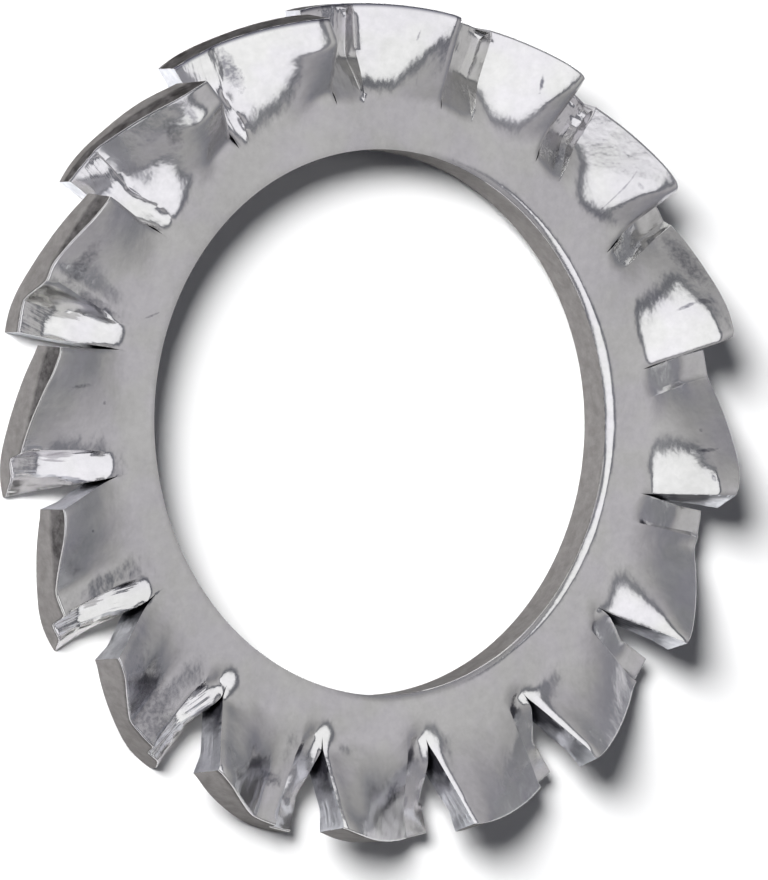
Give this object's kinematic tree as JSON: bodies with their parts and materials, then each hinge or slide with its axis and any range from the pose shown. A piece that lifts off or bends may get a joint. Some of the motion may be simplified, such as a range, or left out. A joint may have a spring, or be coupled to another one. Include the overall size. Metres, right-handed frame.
{
  "type": "toothed lock washer",
  "caption": "Flat spring steel ring with slit, twisted teeth round its outside, which bite under a screw head or nut to keep it from working loose.",
  "frame": {"origin": "on the bore's axis, in the plane that the lowered tooth corners rest on", "axes": "+Z along the bore's axis, upwards; +X through the middle of one tooth"},
  "size_m": [0.02, 0.02, 0.0024],
  "materials": {
    "zinc_plated_steel": "satin, zinc plated"
  },
  "bodies": {
    "root": {"lock_washer": "zinc_plated_steel"}
  },
  "joints": []
}
